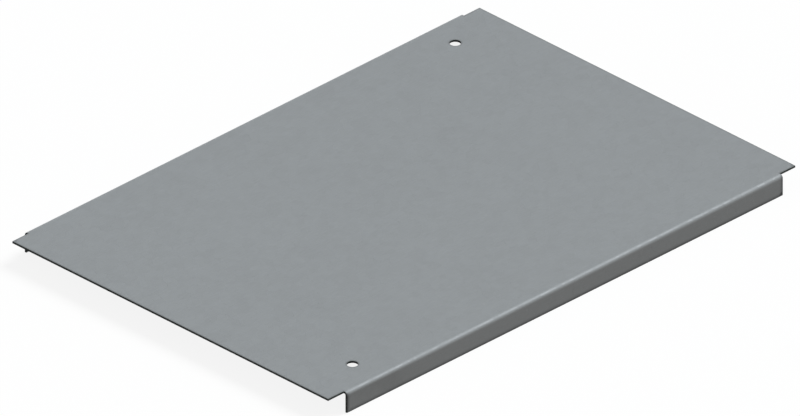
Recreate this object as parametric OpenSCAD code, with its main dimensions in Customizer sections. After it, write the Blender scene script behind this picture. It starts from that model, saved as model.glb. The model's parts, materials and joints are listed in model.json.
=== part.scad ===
// Gland plate for the cable opening in the floor of an enclosure.
// It is one blank of zinc coated sheet: a wide flat panel with a flange folded down along each
// long side. The flanges stop short of the short edges, so four flat tabs are left at the corners.
// The panel lies level, its long side along X, and the lower edges of the flanges are at Z = 0.

/* [Panel] */
// Length of the panel along X, from one short edge to the other
panel_length = 700; // [300:1:1200]
// Width of the plate along Y, over the outer faces of both flanges
plate_width = 483; // [200:1:900]
// Thickness of the sheet
sheet = 2.5; // [1:0.25:4]

/* [Flanges] */
// Height of the plate, from the lower edge of a flange to the top of the panel
flange_height = 24.75; // [15:0.25:60]
// Inside radius of the bend between panel and flange
bend_inner_radius = 1.5; // [0.5:0.25:4]

/* [Corner notches] */
// Distance from a short edge to the nearest end of a flange
notch_length = 23.5; // [10:0.5:60]
// How far a notch reaches in past the line where the bend starts, which leaves the bend's end free
notch_past_bend = 1; // [0.5:0.25:6]

/* [Fixing holes] */
// Diameter of the two fixing holes
hole_diameter = 12.5; // [4:0.5:24]
// Distance from a short edge to the centre of the hole near it
hole_from_short_edge = 71; // [20:1:120]
// Distance from the outer face of a flange to the centre of the hole near it
hole_from_flange = 39.5; // [25:0.5:80]

/* [Hidden] */

// Smoothness of the bends and holes
$fn = 96;
// Extra length of every cutting tool past the face it cuts
past = 1;

bend_outer_radius = bend_inner_radius + sheet;
// Length of each flange, which lies midway along the panel
flange_length = panel_length - 2 * notch_length;
// Distance from the outer face of a flange to the long edge of the corner tabs
tab_inset = bend_outer_radius + notch_past_bend;
hole_x = panel_length / 2 - hole_from_short_edge;
hole_y = plate_width / 2 - hole_from_flange;

// Outline of an upturned tray: square below, its two upper corners round
module tray_outline(width, height, radius) {
    shoulder = width / 2 - radius;
    translate([-width / 2, 0]) square([width, height - radius]);
    translate([-shoulder, 0]) square([2 * shoulder, height]);
    for (side = [-1, 1])
        translate([side * shoulder, height - radius]) circle(r = radius);
}

// Section across the folded sheet, with the same thickness in panel, bends and flanges
module folded_section() {
    difference() {
        tray_outline(plate_width, flange_height, bend_outer_radius);
        translate([0, -past])
            tray_outline(plate_width - 2 * sheet, flange_height - sheet + past, bend_inner_radius);
    }
}

// The section drawn out along the whole length of the panel
module folded_blank() {
    rotate([90, 0, 90])
        linear_extrude(height = panel_length, center = true)
            folded_section();
}

// Cutting tool for the corner notch at the +X +Y corner, which leaves a flat tab behind it
module corner_notch() {
    translate([flange_length / 2, plate_width / 2 - tab_inset, -past])
        cube([notch_length + past, tab_inset + past, flange_height + 2 * past]);
}

// What is cut at one corner is cut at all four
module at_four_corners() {
    for (flip_x = [0, 1], flip_y = [0, 1])
        mirror([flip_x, 0, 0]) mirror([0, flip_y, 0]) children();
}

// The two fixing holes lie on one diagonal of the panel
module fixing_holes() {
    for (end = [-1, 1])
        translate([end * hole_x, end * hole_y, flange_height - sheet - past])
            cylinder(d = hole_diameter, h = sheet + 2 * past);
}

module gland_plate() {
    color([0.58, 0.6, 0.61])
        difference() {
            folded_blank();
            at_four_corners() corner_notch();
            fixing_holes();
        }
}

gland_plate();
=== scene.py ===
# %% [markdown]
# # A gland plate of folded sheet
# A gland plate closes the cable opening in the floor of an enclosure. The real one starts as a flat
# blank of zinc coated steel. A press punches the two holes and cuts the four corners away, and a
# brake folds the long sides down. This lesson makes the visible plate in that same order: blank,
# holes, thickness, fold. Then it gives the sheet its finish and sets up a plain studio.
#
# The imported part comes first, because it says where everything is and how big it is. Its box is
# kept for the sizes that follow.

# %% Load the imported part
import json
import math

import bmesh
import bpy
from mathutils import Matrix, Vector
from mathutils.bvhtree import BVHTree


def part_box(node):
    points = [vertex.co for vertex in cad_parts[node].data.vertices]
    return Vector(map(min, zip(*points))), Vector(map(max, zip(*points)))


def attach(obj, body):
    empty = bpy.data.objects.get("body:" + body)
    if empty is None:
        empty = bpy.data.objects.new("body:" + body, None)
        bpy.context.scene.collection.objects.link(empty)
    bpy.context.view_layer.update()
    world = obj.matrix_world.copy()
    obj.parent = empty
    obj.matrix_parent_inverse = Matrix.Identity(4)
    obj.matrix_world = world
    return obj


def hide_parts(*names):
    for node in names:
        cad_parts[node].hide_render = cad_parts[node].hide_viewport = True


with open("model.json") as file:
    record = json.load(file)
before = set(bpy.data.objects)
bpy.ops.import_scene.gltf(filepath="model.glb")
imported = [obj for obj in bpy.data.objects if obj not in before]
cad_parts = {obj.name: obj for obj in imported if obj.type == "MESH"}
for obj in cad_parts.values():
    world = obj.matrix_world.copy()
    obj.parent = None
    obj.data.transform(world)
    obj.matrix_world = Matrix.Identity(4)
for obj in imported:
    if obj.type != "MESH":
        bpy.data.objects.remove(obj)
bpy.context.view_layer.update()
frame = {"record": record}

scene = bpy.context.scene
lowest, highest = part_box("gland_plate")
size = highest - lowest
print("packed part, mm:", [round(1000 * length, 2) for length in size])

# %% [markdown]
# ## The camera
# In the picture the edges of the plate run dead parallel, so it was taken with no perspective at
# all. A perspective camera would make the far corner narrower. An orthographic camera is the one
# that keeps parallel edges parallel. It looks down at 30 degrees with the plate turned by 45
# degrees, and its scale comes from one measure: how long the panel is in the picture.

# %% Camera
PICTURE_WIDTH_PX = 800
PANEL_LENGTH_PX = 660.8
TOP_CENTRE_RIGHT_OF_MIDDLE_PX = 3.8
TOP_CENTRE_ABOVE_MIDDLE_PX = 4.7
CAMERA_TURN = math.radians(-45)
CAMERA_HEIGHT_ANGLE = math.radians(30)
CAMERA_DISTANCE = 3.0


def make_camera():
    """An orthographic camera that frames the plate as the picture does."""
    metres_per_px = size.x / PANEL_LENGTH_PX
    data = bpy.data.cameras.new("camera")
    data.type = "ORTHO"
    data.ortho_scale = PICTURE_WIDTH_PX * metres_per_px
    data.clip_end = 2 * CAMERA_DISTANCE
    flat = math.cos(CAMERA_HEIGHT_ANGLE)
    back = Vector((
        math.sin(CAMERA_TURN) * flat,
        -math.cos(CAMERA_TURN) * flat,
        math.sin(CAMERA_HEIGHT_ANGLE),
    ))
    turn = (-back).to_track_quat("-Z", "Y")
    right = turn @ Vector((1, 0, 0))
    up = turn @ Vector((0, 1, 0))
    top_centre = Vector((0, 0, highest.z))
    aim = top_centre - metres_per_px * (
        TOP_CENTRE_RIGHT_OF_MIDDLE_PX * right + TOP_CENTRE_ABOVE_MIDDLE_PX * up
    )
    camera = bpy.data.objects.new("camera", data)
    camera.rotation_mode = "QUATERNION"
    camera.rotation_quaternion = turn
    camera.location = aim + CAMERA_DISTANCE * back
    scene.collection.objects.link(camera)
    return camera


scene.camera = make_camera()
print("picture is", round(1000 * scene.camera.data.ortho_scale, 1), "mm wide")

# %% [markdown]
# ## The sizes of the sheet
# A sheet metal part is described by few numbers: the thickness, the bend radius, and where the blank
# stops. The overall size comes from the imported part. The holes and the thickness come from its
# record, where each hole is a mount with a centre, a radius and a length. The rest are the same
# values that the part's own source uses, in metres.

# %% Sheet sizes
BEND_INNER_RADIUS = 0.0015
NOTCH_LENGTH = 0.0235
NOTCH_PAST_BEND = 0.001

holes = [mount for mount in frame["record"]["mounts"] if mount["kind"] == "bore"]
hole_centres = [(mount["pos_m"][0], mount["pos_m"][1]) for mount in holes]
hole_radius = holes[0]["dims"]["r_mm"] / 1000
sheet = holes[0]["dims"]["length_mm"] / 1000

half_length = size.x / 2
half_flange = half_length - NOTCH_LENGTH
bend_outer_radius = BEND_INNER_RADIUS + sheet
bend_start = size.y / 2 - bend_outer_radius
tab_edge = bend_start - NOTCH_PAST_BEND
print("sheet", 1000 * sheet, "mm, outside bend radius", 1000 * bend_outer_radius, "mm")

# %% [markdown]
# ## Laying out the blank
# A fold changes no length along the middle layer of the sheet, so the flat blank is as wide as the
# panel, both bends and both flanges laid side by side. Layout works in two directions: `along` the
# plate and `across` it. The blank could be one big polygon, but a bend needs many narrow strips to
# turn smoothly. A grid whose lines lie only where something changes gives both: strips in the
# bends, and a few large faces on the flat. One more line runs a little inside every cut edge. It
# frames the narrow band in which the finish changes towards the cut and darkens, a painted shade.

# %% Blank layout
BEND_STRIPS = 12
MIDDLE_LAYER = 0.4
HOLE_CELL = 0.014
EDGE_BAND = 0.0056

quarter_turn = math.pi / 2
bend_width = quarter_turn * (BEND_INNER_RADIUS + MIDDLE_LAYER * sheet)
bend_end = bend_start + bend_width
blank_edge = bend_end + size.z - bend_outer_radius


def both_sides(values):
    """The values and their mirror images, in order."""
    return sorted({*values, *[-value for value in values]})


hole_along, hole_across = [abs(value) for value in hole_centres[0]]
lines_along = both_sides([
    hole_along - HOLE_CELL, hole_along + HOLE_CELL,
    half_flange - EDGE_BAND, half_flange,
    half_length - EDGE_BAND, half_length,
])
bend_lines = [bend_start + bend_width * strip / BEND_STRIPS for strip in range(BEND_STRIPS + 1)]
lines_across = both_sides([
    hole_across - HOLE_CELL, hole_across + HOLE_CELL, tab_edge - EDGE_BAND, tab_edge,
    *bend_lines, blank_edge - EDGE_BAND, blank_edge,
])


def is_sheet(along, across):
    """Whether there is metal at this place of the blank, the holes apart."""
    return abs(across) < tab_edge or abs(along) < half_flange


print("blank", round(2000 * half_length, 1), "by", round(2000 * blank_edge, 1), "mm,",
      len(lines_along) - 1, "by", len(lines_across) - 1, "cells")

# %% [markdown]
# ## Punching the holes
# A hole could be cut with a boolean, but that leaves long thin triangles round its rim, and the
# light catches them. Here each hole lies in a square cell of its own. A ring of even faces goes
# round the rim, and eight plain faces fill the rest of the cell.

# %% Cells and holes
RIM_SIDES = 96
DECIMALS = 7


class Blank:
    """The flat blank as a bmesh, where a place that is asked for twice gives the same vertex."""

    def __init__(self):
        self.bm = bmesh.new()
        self.known = {}

    def vertex(self, along, across):
        spot = (round(along, DECIMALS), round(across, DECIMALS))
        if spot not in self.known:
            self.known[spot] = self.bm.verts.new((along, across, 0))
        return self.known[spot]

    def face(self, spots):
        self.bm.faces.new([self.vertex(*spot) for spot in spots])

    def plain_cell(self, left, right, front, back):
        self.face([(left, front), (right, front), (right, back), (left, back)])

    def circle(self, centre, radius):
        steps = [2 * math.pi * (side + 0.5) / RIM_SIDES for side in range(RIM_SIDES)]
        return [(centre[0] + radius * math.cos(a), centre[1] + radius * math.sin(a)) for a in steps]

    def hole_cell(self, left, right, front, back, centre):
        rim = self.circle(centre, hole_radius)
        ring = self.circle(centre, hole_radius + EDGE_BAND)
        for side in range(RIM_SIDES):
            following = (side + 1) % RIM_SIDES
            self.face([rim[side], ring[side], ring[following], rim[following]])
        corners = [(right, back), (left, back), (left, front), (right, front)]
        quarter = RIM_SIDES // 4
        for turn, corner in enumerate(corners):
            arc = [ring[(turn * quarter + step) % RIM_SIDES] for step in range(quarter)]
            next_start = ring[(turn + 1) * quarter % RIM_SIDES]
            next_corner = corners[(turn + 1) % 4]
            self.face([corner, *reversed(arc)])
            self.face([arc[-1], corner, next_corner, next_start])


def lay_out_blank():
    """One flat layer of faces with the outline and the holes of the blank."""
    blank = Blank()
    for left, right in zip(lines_along, lines_along[1:]):
        for front, back in zip(lines_across, lines_across[1:]):
            middle = ((left + right) / 2, (front + back) / 2)
            inside = [c for c in hole_centres if left < c[0] < right and front < c[1] < back]
            if inside:
                blank.hole_cell(left, right, front, back, inside[0])
            elif is_sheet(*middle):
                blank.plain_cell(left, right, front, back)
    return blank.bm


bm = lay_out_blank()
print("flat layer:", len(bm.faces), "faces,", len(hole_centres), "holes")

# %% [markdown]
# ## Thickness and sheared edges
# A punch drags the surface of the sheet down a little before it breaks through. So a real edge is
# rounded on the side where the punch went in and almost sharp on the other side. A square corner
# with no rounding looks drawn and not made, because it never catches the light. The layer is
# extruded to the thickness of the sheet, and the edges of the two sides get their own small round.

# %% Thickness and edge rounds
PUNCH_SIDE_ROUND = 0.0003
FAR_SIDE_ROUND = 0.0001
ROUND_STEPS = 3
ROUND_PROFILE = 0.5
WALL_SLOPE = 0.5
SAME_HEIGHT = sheet / 100
ZINC_FACE, SHEARED_EDGE = 0, 1


def thicken(bm):
    """Gives the flat layer its thickness, downwards."""
    made = bmesh.ops.extrude_face_region(bm, geom=list(bm.faces), use_keep_orig=True)
    lower = [item for item in made["geom"] if isinstance(item, bmesh.types.BMVert)]
    bmesh.ops.translate(bm, verts=lower, vec=(0, 0, -sheet))
    bmesh.ops.recalc_face_normals(bm, faces=list(bm.faces))
    bm.normal_update()


def is_wall(face):
    """Whether a face of the flat blank stands upright, as a sheared edge does."""
    return abs(face.normal.z) < WALL_SLOPE


def make_cut_finder(bm):
    """A search tree of the walls, which tells how far a point is from the nearest cut."""
    bm.verts.index_update()
    walls = [[vertex.index for vertex in face.verts] for face in bm.faces if is_wall(face)]
    return BVHTree.FromPolygons([vertex.co for vertex in bm.verts], walls)


def round_edges(bm, height, radius):
    """Rounds the edges at one height, where a wall meets the surface of the sheet."""
    rim = [
        edge for edge in bm.edges
        if all(abs(vertex.co.z - height) < SAME_HEIGHT for vertex in edge.verts)
        and len({is_wall(face) for face in edge.link_faces}) == 2
    ]
    made = bmesh.ops.bevel(
        bm, geom=rim, offset=radius, offset_type="OFFSET", segments=ROUND_STEPS,
        profile=ROUND_PROFILE, affect="EDGES", clamp_overlap=False, material=-1,
    )
    for face in made["faces"]:
        face[rim_mark] = 1
    return len(rim)


rim_mark = bm.faces.layers.float.new("rim")
thicken(bm)
cut_finder = make_cut_finder(bm)
rounded = round_edges(bm, 0, PUNCH_SIDE_ROUND), round_edges(bm, -sheet, FAR_SIDE_ROUND)
bm.normal_update()
for face in bm.faces:
    face.material_index = SHEARED_EDGE if is_wall(face) else ZINC_FACE
print("rounded edges, punch side and far side:", rounded)

# %% [markdown]
# ## Folding
# Every point of the blank now moves to its place on the folded plate. A point on the panel stays. A
# point in the bend goes round the bend's centre by its share of a quarter turn. A point on the
# flange hangs straight down. Each vertex first notes where it lay on the flat blank, and how far it
# was from the nearest cut. The finish reads these notes later, so the rolling grain runs round the
# bend unbroken, as it does on real sheet.

# %% Fold
def folded(point):
    """Where a point of the flat blank lies on the folded plate."""
    side = math.copysign(1, point.y)
    across, depth = abs(point.y), -point.z
    radius = bend_outer_radius - depth
    centre_height = size.z - bend_outer_radius
    if across <= bend_start:
        return Vector((point.x, point.y, size.z - depth))
    if across >= bend_end:
        drop = across - bend_end
        return Vector((point.x, side * (bend_start + radius), centre_height - drop))
    turn = quarter_turn * (across - bend_start) / bend_width
    return Vector((
        point.x,
        side * (bend_start + radius * math.sin(turn)),
        centre_height + radius * math.cos(turn),
    ))


blank_note = bm.verts.layers.float_vector.new("blank")
cut_note = bm.verts.layers.float.new("cut_distance")
for vertex in bm.verts:
    vertex[blank_note] = vertex.co.copy()
    vertex[cut_note] = min(cut_finder.find_nearest(vertex.co)[3], EDGE_BAND)
    vertex.co = folded(vertex.co)
bm.normal_update()
open_edges = sum(not edge.is_manifold for edge in bm.edges)
print("folded volume", round(1e6 * bm.calc_volume(), 1), "cm3, open edges", open_edges)

# %% [markdown]
# ## The finished piece
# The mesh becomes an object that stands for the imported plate. Its faces are shaded smooth, but a
# large flat face beside a narrow round would then look bent. The Weighted Normal modifier lets the
# large faces decide, so flats stay flat and only the rounds turn the light.

# %% Plate object
SHARP_ANGLE = math.radians(40)
LARGE_FACE_WEIGHT = 100


def make_plate(bm):
    """The visible plate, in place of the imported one."""
    for face in bm.faces:
        face.smooth = True
    for edge in bm.edges:
        edge.smooth = edge.calc_face_angle(0) < SHARP_ANGLE
    mesh = bpy.data.meshes.new("folded_sheet")
    bm.to_mesh(mesh)
    bm.free()
    plate = bpy.data.objects.new("folded_sheet", mesh)
    scene.collection.objects.link(plate)
    normals = plate.modifiers.new("flat faces decide", "WEIGHTED_NORMAL")
    normals.keep_sharp = True
    normals.weight = LARGE_FACE_WEIGHT
    return plate


plate = make_plate(bm)
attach(plate, "root")
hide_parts("gland_plate")
print("plate:", len(plate.data.vertices), "vertices,", len(plate.data.polygons), "faces")

# %% [markdown]
# ## Small helpers for node trees
# A material is a tree of nodes. Written out one by one, nodes take many lines and hide the idea, so
# four short helpers do it. They place a node, do a sum, make a soft step, and start a group with
# named inputs and outputs.

# %% Node helpers
def place(tree, kind, inputs=None, **settings):
    """Adds a node. An input is either a plain value or the output of another node."""
    node = tree.nodes.new(kind)
    for name, value in settings.items():
        setattr(node, name, value)
    for name, value in (inputs or {}).items():
        if isinstance(value, bpy.types.NodeSocket):
            tree.links.new(value, node.inputs[name])
        else:
            node.inputs[name].default_value = value
    return node


def sums(tree, operation, *values):
    """The result of a Math node with these values."""
    return place(tree, "ShaderNodeMath", dict(enumerate(values)), operation=operation).outputs[0]


def ramp(tree, value, low, high, to_low=0.0, to_high=1.0):
    """A soft step: to_low below low, to_high above high, and a smooth change between them."""
    inputs = {"Value": value, "From Min": low, "From Max": high, "To Min": to_low, "To Max": to_high}
    node = place(tree, "ShaderNodeMapRange", inputs, interpolation_type="SMOOTHSTEP")
    return node.outputs["Result"]


def start_group(name, inputs, outputs):
    """A shader node group with named sockets. Returns the tree and its two end nodes."""
    tree = bpy.data.node_groups.new(name, "ShaderNodeTree")
    for socket, (kind, value) in inputs.items():
        made = tree.interface.new_socket(name=socket, in_out="INPUT", socket_type=kind)
        if value is not None:
            made.default_value = value
    for socket, kind in outputs.items():
        tree.interface.new_socket(name=socket, in_out="OUTPUT", socket_type=kind)
    return tree, place(tree, "NodeGroupInput"), place(tree, "NodeGroupOutput")


FLOAT = "NodeSocketFloat"
VECTOR = "NodeSocketVector"
print("node helpers ready")

# %% [markdown]
# ## Effects that both finishes share
# The zinc faces and the sheared edges are two finishes, but both carry fine grain and slow clouding.
# Each of these effects is a node group, built once and placed in both materials with its own sizes.
# Grain comes from a noise that is squeezed by a different amount in each direction: long along the
# rolling direction on the faces, and long through the thickness on the sheared edges.

# %% Grain and clouding groups
NOISE_MIDDLE = 0.5
GRAIN_DETAIL, GRAIN_BREAKUP = 3.0, 0.6
CLOUD_DETAIL, CLOUD_BREAKUP = 2.0, 0.45


def make_grain_group():
    """Streaky grain. Grain Size says how far a streak reaches in each direction."""
    inputs = {"Position": (VECTOR, None), "Grain Size": (VECTOR, (0.001, 0.001, 0.001))}
    tree, given, result = start_group("sheet grain", inputs, {"Grain": FLOAT})
    cells = place(
        tree, "ShaderNodeVectorMath",
        {0: given.outputs["Position"], 1: given.outputs["Grain Size"]}, operation="DIVIDE",
    )
    noise = place(
        tree, "ShaderNodeTexNoise",
        {"Vector": cells.outputs["Vector"], "Scale": 1.0, "Detail": GRAIN_DETAIL,
         "Roughness": GRAIN_BREAKUP},
    )
    grain = sums(tree, "SUBTRACT", noise.outputs["Fac"], NOISE_MIDDLE)
    tree.links.new(grain, result.inputs["Grain"])
    return tree


def make_clouding_group():
    """Slow soft patches, such as handling and storage leave on bare metal."""
    inputs = {"Position": (VECTOR, None), "Patch Size": (FLOAT, 0.1)}
    tree, given, result = start_group("storage clouding", inputs, {"Cloud": FLOAT})
    scale = sums(tree, "DIVIDE", 1.0, given.outputs["Patch Size"])
    noise = place(
        tree, "ShaderNodeTexNoise",
        {"Vector": given.outputs["Position"], "Scale": scale, "Detail": CLOUD_DETAIL,
         "Roughness": CLOUD_BREAKUP},
    )
    cloud = sums(tree, "SUBTRACT", noise.outputs["Fac"], NOISE_MIDDLE)
    tree.links.new(cloud, result.inputs["Cloud"])
    return tree


grain_group = make_grain_group()
clouding_group = make_clouding_group()
print("groups:", grain_group.name, "and", clouding_group.name)

# %% [markdown]
# ## Zinc spangle
# Molten zinc freezes on the steel in flat crystals, the spangle. On a sheet that has been rolled
# after coating they are faint: each crystal is a shade lighter or darker than its neighbours and
# tilts the light a little. A Voronoi texture gives such cells. Its position is bent by a noise
# first, so that the borders come out ragged instead of straight.

# %% Spangle
SPANGLE_SIZE = 0.009
SPANGLE_RAGGEDNESS = 0.0035
RAGGED_STEP = 0.004


def add_spangle(tree, position):
    """Spangle cells. Returns a random shade per cell and a height that tilts each cell."""
    noise = place(tree, "ShaderNodeTexNoise", {"Vector": position, "Scale": 1 / RAGGED_STEP})
    centred = place(
        tree, "ShaderNodeVectorMath", {0: noise.outputs["Color"], 1: (NOISE_MIDDLE,) * 3},
        operation="SUBTRACT",
    )
    ragged = place(
        tree, "ShaderNodeVectorMath",
        {0: centred.outputs["Vector"], 1: (SPANGLE_RAGGEDNESS,) * 3, 2: position},
        operation="MULTIPLY_ADD",
    )
    crystals = place(
        tree, "ShaderNodeTexVoronoi",
        {"Vector": ragged.outputs["Vector"], "Scale": 1 / SPANGLE_SIZE, "Randomness": 1.0},
    )
    random = place(tree, "ShaderNodeSeparateColor", {"Color": crystals.outputs["Color"]})
    shade = sums(tree, "SUBTRACT", random.outputs["Red"], NOISE_MIDDLE)
    lean = sums(tree, "SUBTRACT", random.outputs["Green"], NOISE_MIDDLE)
    height = sums(tree, "MULTIPLY", crystals.outputs["Distance"], lean)
    return shade, height


print("spangle crystals of about", 1000 * SPANGLE_SIZE, "mm")

# %% [markdown]
# ## Mixing a finish from masks
# A mask is a number that changes over the surface, such as where grain runs or where the bend is. A
# finish is then a list of masks and amounts: how much each one lightens the colour, roughens the
# surface or lifts it. Kept as a table, such a list can be read and tuned without following a wire.
# These helpers read the notes on the mesh, place a shared effect, add the masks up, and give a new
# material its shader and the wires to it.

# %% Finish helpers
MICRON = 0.000001


def noted(tree, name):
    """A note that the mesh carries at each point, as the sockets of an Attribute node."""
    return place(tree, "ShaderNodeAttribute", attribute_name=name).outputs


def effect(tree, group, position, size_name, size):
    """One of the shared effects, at the size that this finish gives it."""
    inputs = {"Position": position, size_name: size}
    return place(tree, "ShaderNodeGroup", inputs, node_tree=group).outputs[0]


def band(tree, value, start, end, softness):
    """1 between start and end, and 0 outside, with soft borders."""
    rise = ramp(tree, value, start - softness, start)
    fall = ramp(tree, value, end, end + softness, 1.0, 0.0)
    return sums(tree, "MULTIPLY", rise, fall)


def add_up(tree, start, masks, amounts, unit=1.0):
    """start plus each named mask times its amount."""
    total = start
    for name, amount in amounts.items():
        total = sums(tree, "MULTIPLY_ADD", masks[name], amount * unit, total)
    return total


def scaled_colour(tree, colour, factor):
    """A plain colour made lighter or darker by a factor that changes over the surface."""
    return place(
        tree, "ShaderNodeVectorMath", {0: colour, "Scale": factor}, operation="SCALE",
    ).outputs["Vector"]


def start_material(name):
    """An empty material with a Principled BSDF on its output."""
    material = bpy.data.materials.new(name)
    material.use_nodes = True
    tree = material.node_tree
    tree.nodes.clear()
    shader = place(tree, "ShaderNodeBsdfPrincipled")
    place(tree, "ShaderNodeOutputMaterial", {"Surface": shader.outputs["BSDF"]})
    return material, tree, shader


def wire_finish(tree, shader, colour, roughness, height):
    """Joins what changes over the surface to the shader, the height through a Bump node."""
    bump = place(tree, "ShaderNodeBump", {"Height": height, "Distance": 1.0, "Strength": 1.0})
    tree.links.new(colour, shader.inputs["Base Color"])
    tree.links.new(roughness, shader.inputs["Roughness"])
    tree.links.new(bump.outputs["Normal"], shader.inputs["Normal"])


print("finish helpers ready")

# %% [markdown]
# ## The zinc faces
# The panel is a plain satin grey. What makes it read as metal is small: streaks along the rolling
# direction and faint spangle. The bend is a little rougher, and it is painted a little paler, a
# painted highlight that widens the bright line the lamp makes there. Along every cut runs a narrow
# darker band, a painted shade that is a little rougher too, and on the flanges a further painted
# shade darkens their cut edges, their foot on the floor among them. Its strength is a choice: the
# picture has been sharpened, which drew dark lines along the edges, and the band follows them as far
# as a finish can. All of it is read from the noted place on the blank, so nothing swims or breaks at
# the fold. The streaks and crystals differ by a few parts in a hundred only, as on new stock, so
# they show from close by and melt into one grey from further away.

# %% Zinc material
ZINC_COLOUR = (0.254, 0.270, 0.280)
ZINC_ROUGHNESS = 0.60
ZINC_METALLIC = 0.30
ZINC_SPECULAR = 0.1
ROLLED_GRAIN = (0.060, 0.0012, 0.0012)
FINE_GRAIN = (0.012, 0.0004, 0.0004)
ZINC_PATCHES = 0.16
BEND_SOFTNESS = 0.0008
EDGE_SHADE_WIDTH = 0.0026
# The paler bend is a painted highlight; the darker bands along the cuts are painted shade.
ZINC_LIGHTNESS = {
    "grain": 0.15, "fine": 0.30, "cloud": 0.05, "shade": 0.06, "bend": 0.12,
    "edge_shade_and_dulling": -0.28, "flange_edge_shade": -0.45, "rim": -0.10,
}
ZINC_ROUGHENING = {
    "grain": 0.20, "cloud": 0.06, "shade": 0.12, "bend": 0.03, "edge_shade_and_dulling": 0.05, "rim": -0.06,
}
ZINC_RELIEF_MICRONS = {"grain": 14, "fine": 12, "facets": 150}


def make_zinc():
    """Satin zinc coating with rolled grain, faint spangle, a rougher bend with a painted highlight,
    and painted shade along the cuts.
    """
    material, tree, shader = start_material("zinc coated face")
    blank_place = noted(tree, "blank")["Vector"]
    from_cut = noted(tree, "cut_distance")["Fac"]
    across = place(tree, "ShaderNodeSeparateXYZ", {"Vector": blank_place}).outputs["Y"]
    from_middle = sums(tree, "ABSOLUTE", across)
    near_edge = ramp(tree, from_cut, 0.0, EDGE_BAND, 1.0, 0.0)
    on_flange = ramp(tree, from_middle, bend_start, bend_end)
    shade, facets = add_spangle(tree, blank_place)
    masks = {
        "grain": effect(tree, grain_group, blank_place, "Grain Size", ROLLED_GRAIN),
        "fine": effect(tree, grain_group, blank_place, "Grain Size", FINE_GRAIN),
        "cloud": effect(tree, clouding_group, blank_place, "Patch Size", ZINC_PATCHES),
        "shade": shade,
        "facets": facets,
        # A paler bend, a painted highlight; then darker bands along the cuts, painted shade.
        "bend": band(tree, from_middle, bend_start, bend_end, BEND_SOFTNESS),
        "edge_shade_and_dulling": ramp(tree, from_cut, 0.0, EDGE_SHADE_WIDTH, 1.0, 0.0),
        "flange_edge_shade": sums(tree, "MULTIPLY", near_edge, on_flange),
        "rim": noted(tree, "rim")["Fac"],
    }
    lightness = add_up(tree, 1.0, masks, ZINC_LIGHTNESS)
    roughness = add_up(tree, ZINC_ROUGHNESS, masks, ZINC_ROUGHENING)
    height = add_up(tree, 0.0, masks, ZINC_RELIEF_MICRONS, MICRON)
    wire_finish(tree, shader, scaled_colour(tree, ZINC_COLOUR, lightness), roughness, height)
    shader.inputs["Metallic"].default_value = ZINC_METALLIC
    shader.inputs["Specular IOR Level"].default_value = ZINC_SPECULAR
    return material


zinc = make_zinc()
plate.data.materials.append(zinc)
print("material", zinc.name, "with", len(zinc.node_tree.nodes), "nodes")

# %% [markdown]
# ## The sheared edges
# Where the sheet was cut, the zinc is gone and bare steel shows, darker than the zinc. Its colour is
# set darker still, a painted shade that keeps the cut edges dark. A sheared edge has two zones. Near
# the punch side the blade has burnished it smooth, and below that the steel has torn and is rough
# and darker. The depth below the punched face is the third number of the noted place on the blank,
# so one ramp on it makes both zones, in every notch and round both holes.

# %% Sheared edge material
# Darker than bare steel: this colour also holds painted shade for the cut edges.
STEEL_AND_SHADE_COLOUR = (0.048, 0.058, 0.057)
STEEL_METALLIC = 0.05
STEEL_SPECULAR = 0.1
SHEAR_GRAIN = (0.00035, 0.00035, 0.0030)
STEEL_PATCHES = 0.025
RUBBED_DEPTH = 0.0009
TEAR_WANDER = 0.0008
TEAR_SOFTNESS = 0.0002
STEEL_START_LIGHTNESS = 1.15
STEEL_LIGHTNESS = {"torn": -0.45, "grain": 0.8, "cloud": 0.4}
STEEL_ROUGHNESS = 0.42
STEEL_ROUGHENING = {"torn": 0.30, "grain": 0.2}
STEEL_RELIEF_MICRONS = {"grain": 12, "torn": -15}


def make_sheared_steel():
    """Bare steel, its colour darkened by painted shade, with a smooth zone next to the punched face
    and a torn zone below it.
    """
    material, tree, shader = start_material("sheared steel edge")
    blank_place = noted(tree, "blank")["Vector"]
    depth = place(tree, "ShaderNodeSeparateXYZ", {"Vector": blank_place}).outputs["Z"]
    masks = {
        "grain": effect(tree, grain_group, blank_place, "Grain Size", SHEAR_GRAIN),
        "cloud": effect(tree, clouding_group, blank_place, "Patch Size", STEEL_PATCHES),
    }
    border = add_up(tree, depth, masks, {"cloud": TEAR_WANDER, "grain": TEAR_WANDER})
    masks["torn"] = ramp(tree, border, -RUBBED_DEPTH - TEAR_SOFTNESS, -RUBBED_DEPTH, 1.0, 0.0)
    lightness = add_up(tree, STEEL_START_LIGHTNESS, masks, STEEL_LIGHTNESS)
    roughness = add_up(tree, STEEL_ROUGHNESS, masks, STEEL_ROUGHENING)
    height = add_up(tree, 0.0, masks, STEEL_RELIEF_MICRONS, MICRON)
    wire_finish(tree, shader, scaled_colour(tree, STEEL_AND_SHADE_COLOUR, lightness), roughness, height)
    shader.inputs["Metallic"].default_value = STEEL_METALLIC
    shader.inputs["Specular IOR Level"].default_value = STEEL_SPECULAR
    return material


steel = make_sheared_steel()
plate.data.materials.append(steel)
print("material", steel.name, "with", len(steel.node_tree.nodes), "nodes")

# %% [markdown]
# ## The floor
# The plate lies on a plain white floor. A white floor would throw so much light up that the front
# flange lost its shade, so the floor has two sides. What the camera, mirrors and glass see is mostly
# a plain white of strength 1, mixed with a matt white that still takes the soft shadow. What the
# other light rays meet is a warm grey. A Light Path node tells the two kinds of ray apart, and the
# walls of the studio will ask it the same question.

# %% Floor
FLOOR_SIZE = 14.0
FLOOR_GAP = 0.0002
SHOWN_WHITE = 0.97
WHITE_GLOW_SHARE = 0.88
UNSEEN_GREY = (0.28, 0.22, 0.17, 1)


def seen_rays(tree):
    """1 for the rays that show the studio: to the camera, in a mirror, or through glass."""
    rays = place(tree, "ShaderNodeLightPath").outputs
    mirrored = sums(tree, "MAXIMUM", rays["Is Camera Ray"], rays["Is Glossy Ray"])
    return sums(tree, "MAXIMUM", mirrored, rays["Is Transmission Ray"])


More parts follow.
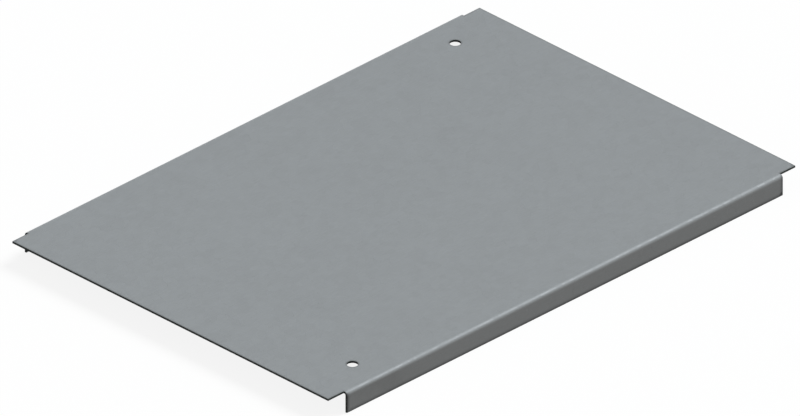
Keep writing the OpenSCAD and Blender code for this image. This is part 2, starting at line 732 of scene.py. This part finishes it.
def make_floor_material():
    """White with a soft shadow where it is seen, and grey where it only lights the plate."""
    material = bpy.data.materials.new("studio floor")
    material.use_nodes = True
    tree = material.node_tree
    tree.nodes.clear()
    white = (SHOWN_WHITE, SHOWN_WHITE, SHOWN_WHITE, 1)
    matt_white = place(tree, "ShaderNodeBsdfDiffuse", {"Color": white})
    matt_grey = place(tree, "ShaderNodeBsdfDiffuse", {"Color": UNSEEN_GREY})
    glow = place(tree, "ShaderNodeEmission", {"Color": (1, 1, 1, 1), "Strength": 1.0})
    shown = place(
        tree, "ShaderNodeMixShader",
        {0: WHITE_GLOW_SHARE, 1: matt_white.outputs["BSDF"], 2: glow.outputs["Emission"]},
    )
    both = place(
        tree, "ShaderNodeMixShader",
        {0: seen_rays(tree), 1: matt_grey.outputs["BSDF"], 2: shown.outputs["Shader"]},
    )
    place(tree, "ShaderNodeOutputMaterial", {"Surface": both.outputs["Shader"]})
    return material


def make_floor():
    """A large level sheet just under the lower edges of the flanges."""
    half = FLOOR_SIZE / 2
    corners = [(-half, -half), (half, -half), (half, half), (-half, half)]
    mesh = bpy.data.meshes.new("floor")
    mesh.from_pydata([(x, y, lowest.z - FLOOR_GAP) for x, y in corners], [], [(0, 1, 2, 3)])
    mesh.materials.append(make_floor_material())
    floor = bpy.data.objects.new("floor", mesh)
    scene.collection.objects.link(floor)
    return floor


floor = make_floor()
print("floor", FLOOR_SIZE, "m square")

# %% [markdown]
# ## Studio light
# In the picture the panel has the same grey from corner to corner, so its lamp stood far away. A
# sun lamp with a wide angle acts like a large softbox at such a distance. It stands high on the
# right, where the rounded front bend mirrors it as a bright line while the flange below stays in
# shade. There is no second lamp on the left, because it would light the flange and take that
# contrast away. The walls come from the world. Like the floor they are white to the camera and in
# mirrors, so the zinc has something pale to reflect on every side, but as light they are dim and
# even, so that no side goes black.

# %% Lamps and world
SOFTBOX_FROM = (0.61, -0.14, 0.78)
SOFTBOX_STRENGTH = 2.90
SOFTBOX_ANGLE = math.radians(32)
LAMP_COLOUR = (0.98, 1.0, 1.01)
WORLD_COLOUR = (1.0, 1.0, 0.98, 1.0)
WORLD_STRENGTH = 0.27


def add_lamp(name, comes_from, strength, angle):
    """A far softbox: a sun lamp whose light comes from the given direction."""
    data = bpy.data.lights.new(name, "SUN")
    data.energy = strength
    data.angle = angle
    data.color = LAMP_COLOUR
    lamp = bpy.data.objects.new(name, data)
    lamp.rotation_mode = "QUATERNION"
    lamp.rotation_quaternion = Vector(comes_from).to_track_quat("Z", "Y")
    scene.collection.objects.link(lamp)
    return lamp


def make_world():
    """Walls that are white where they are seen, and an even dim light from all round."""
    world = bpy.data.worlds.new("studio")
    world.use_nodes = True
    tree = world.node_tree
    tree.nodes.clear()
    dim = place(
        tree, "ShaderNodeBackground", {"Color": WORLD_COLOUR, "Strength": WORLD_STRENGTH},
    )
    white = place(tree, "ShaderNodeBackground", {"Color": (1, 1, 1, 1), "Strength": 1.0})
    both = place(
        tree, "ShaderNodeMixShader",
        {0: seen_rays(tree), 1: dim.outputs["Background"], 2: white.outputs["Background"]},
    )
    place(tree, "ShaderNodeOutputWorld", {"Surface": both.outputs["Shader"]})
    return world


add_lamp("far softbox", SOFTBOX_FROM, SOFTBOX_STRENGTH, SOFTBOX_ANGLE)
scene.world = make_world()
scene.view_settings.view_transform = "Standard"
lamp_light = SOFTBOX_STRENGTH * Vector(SOFTBOX_FROM).normalized().z / math.pi
print("light on a level white surface:", round(lamp_light + WORLD_STRENGTH, 2))
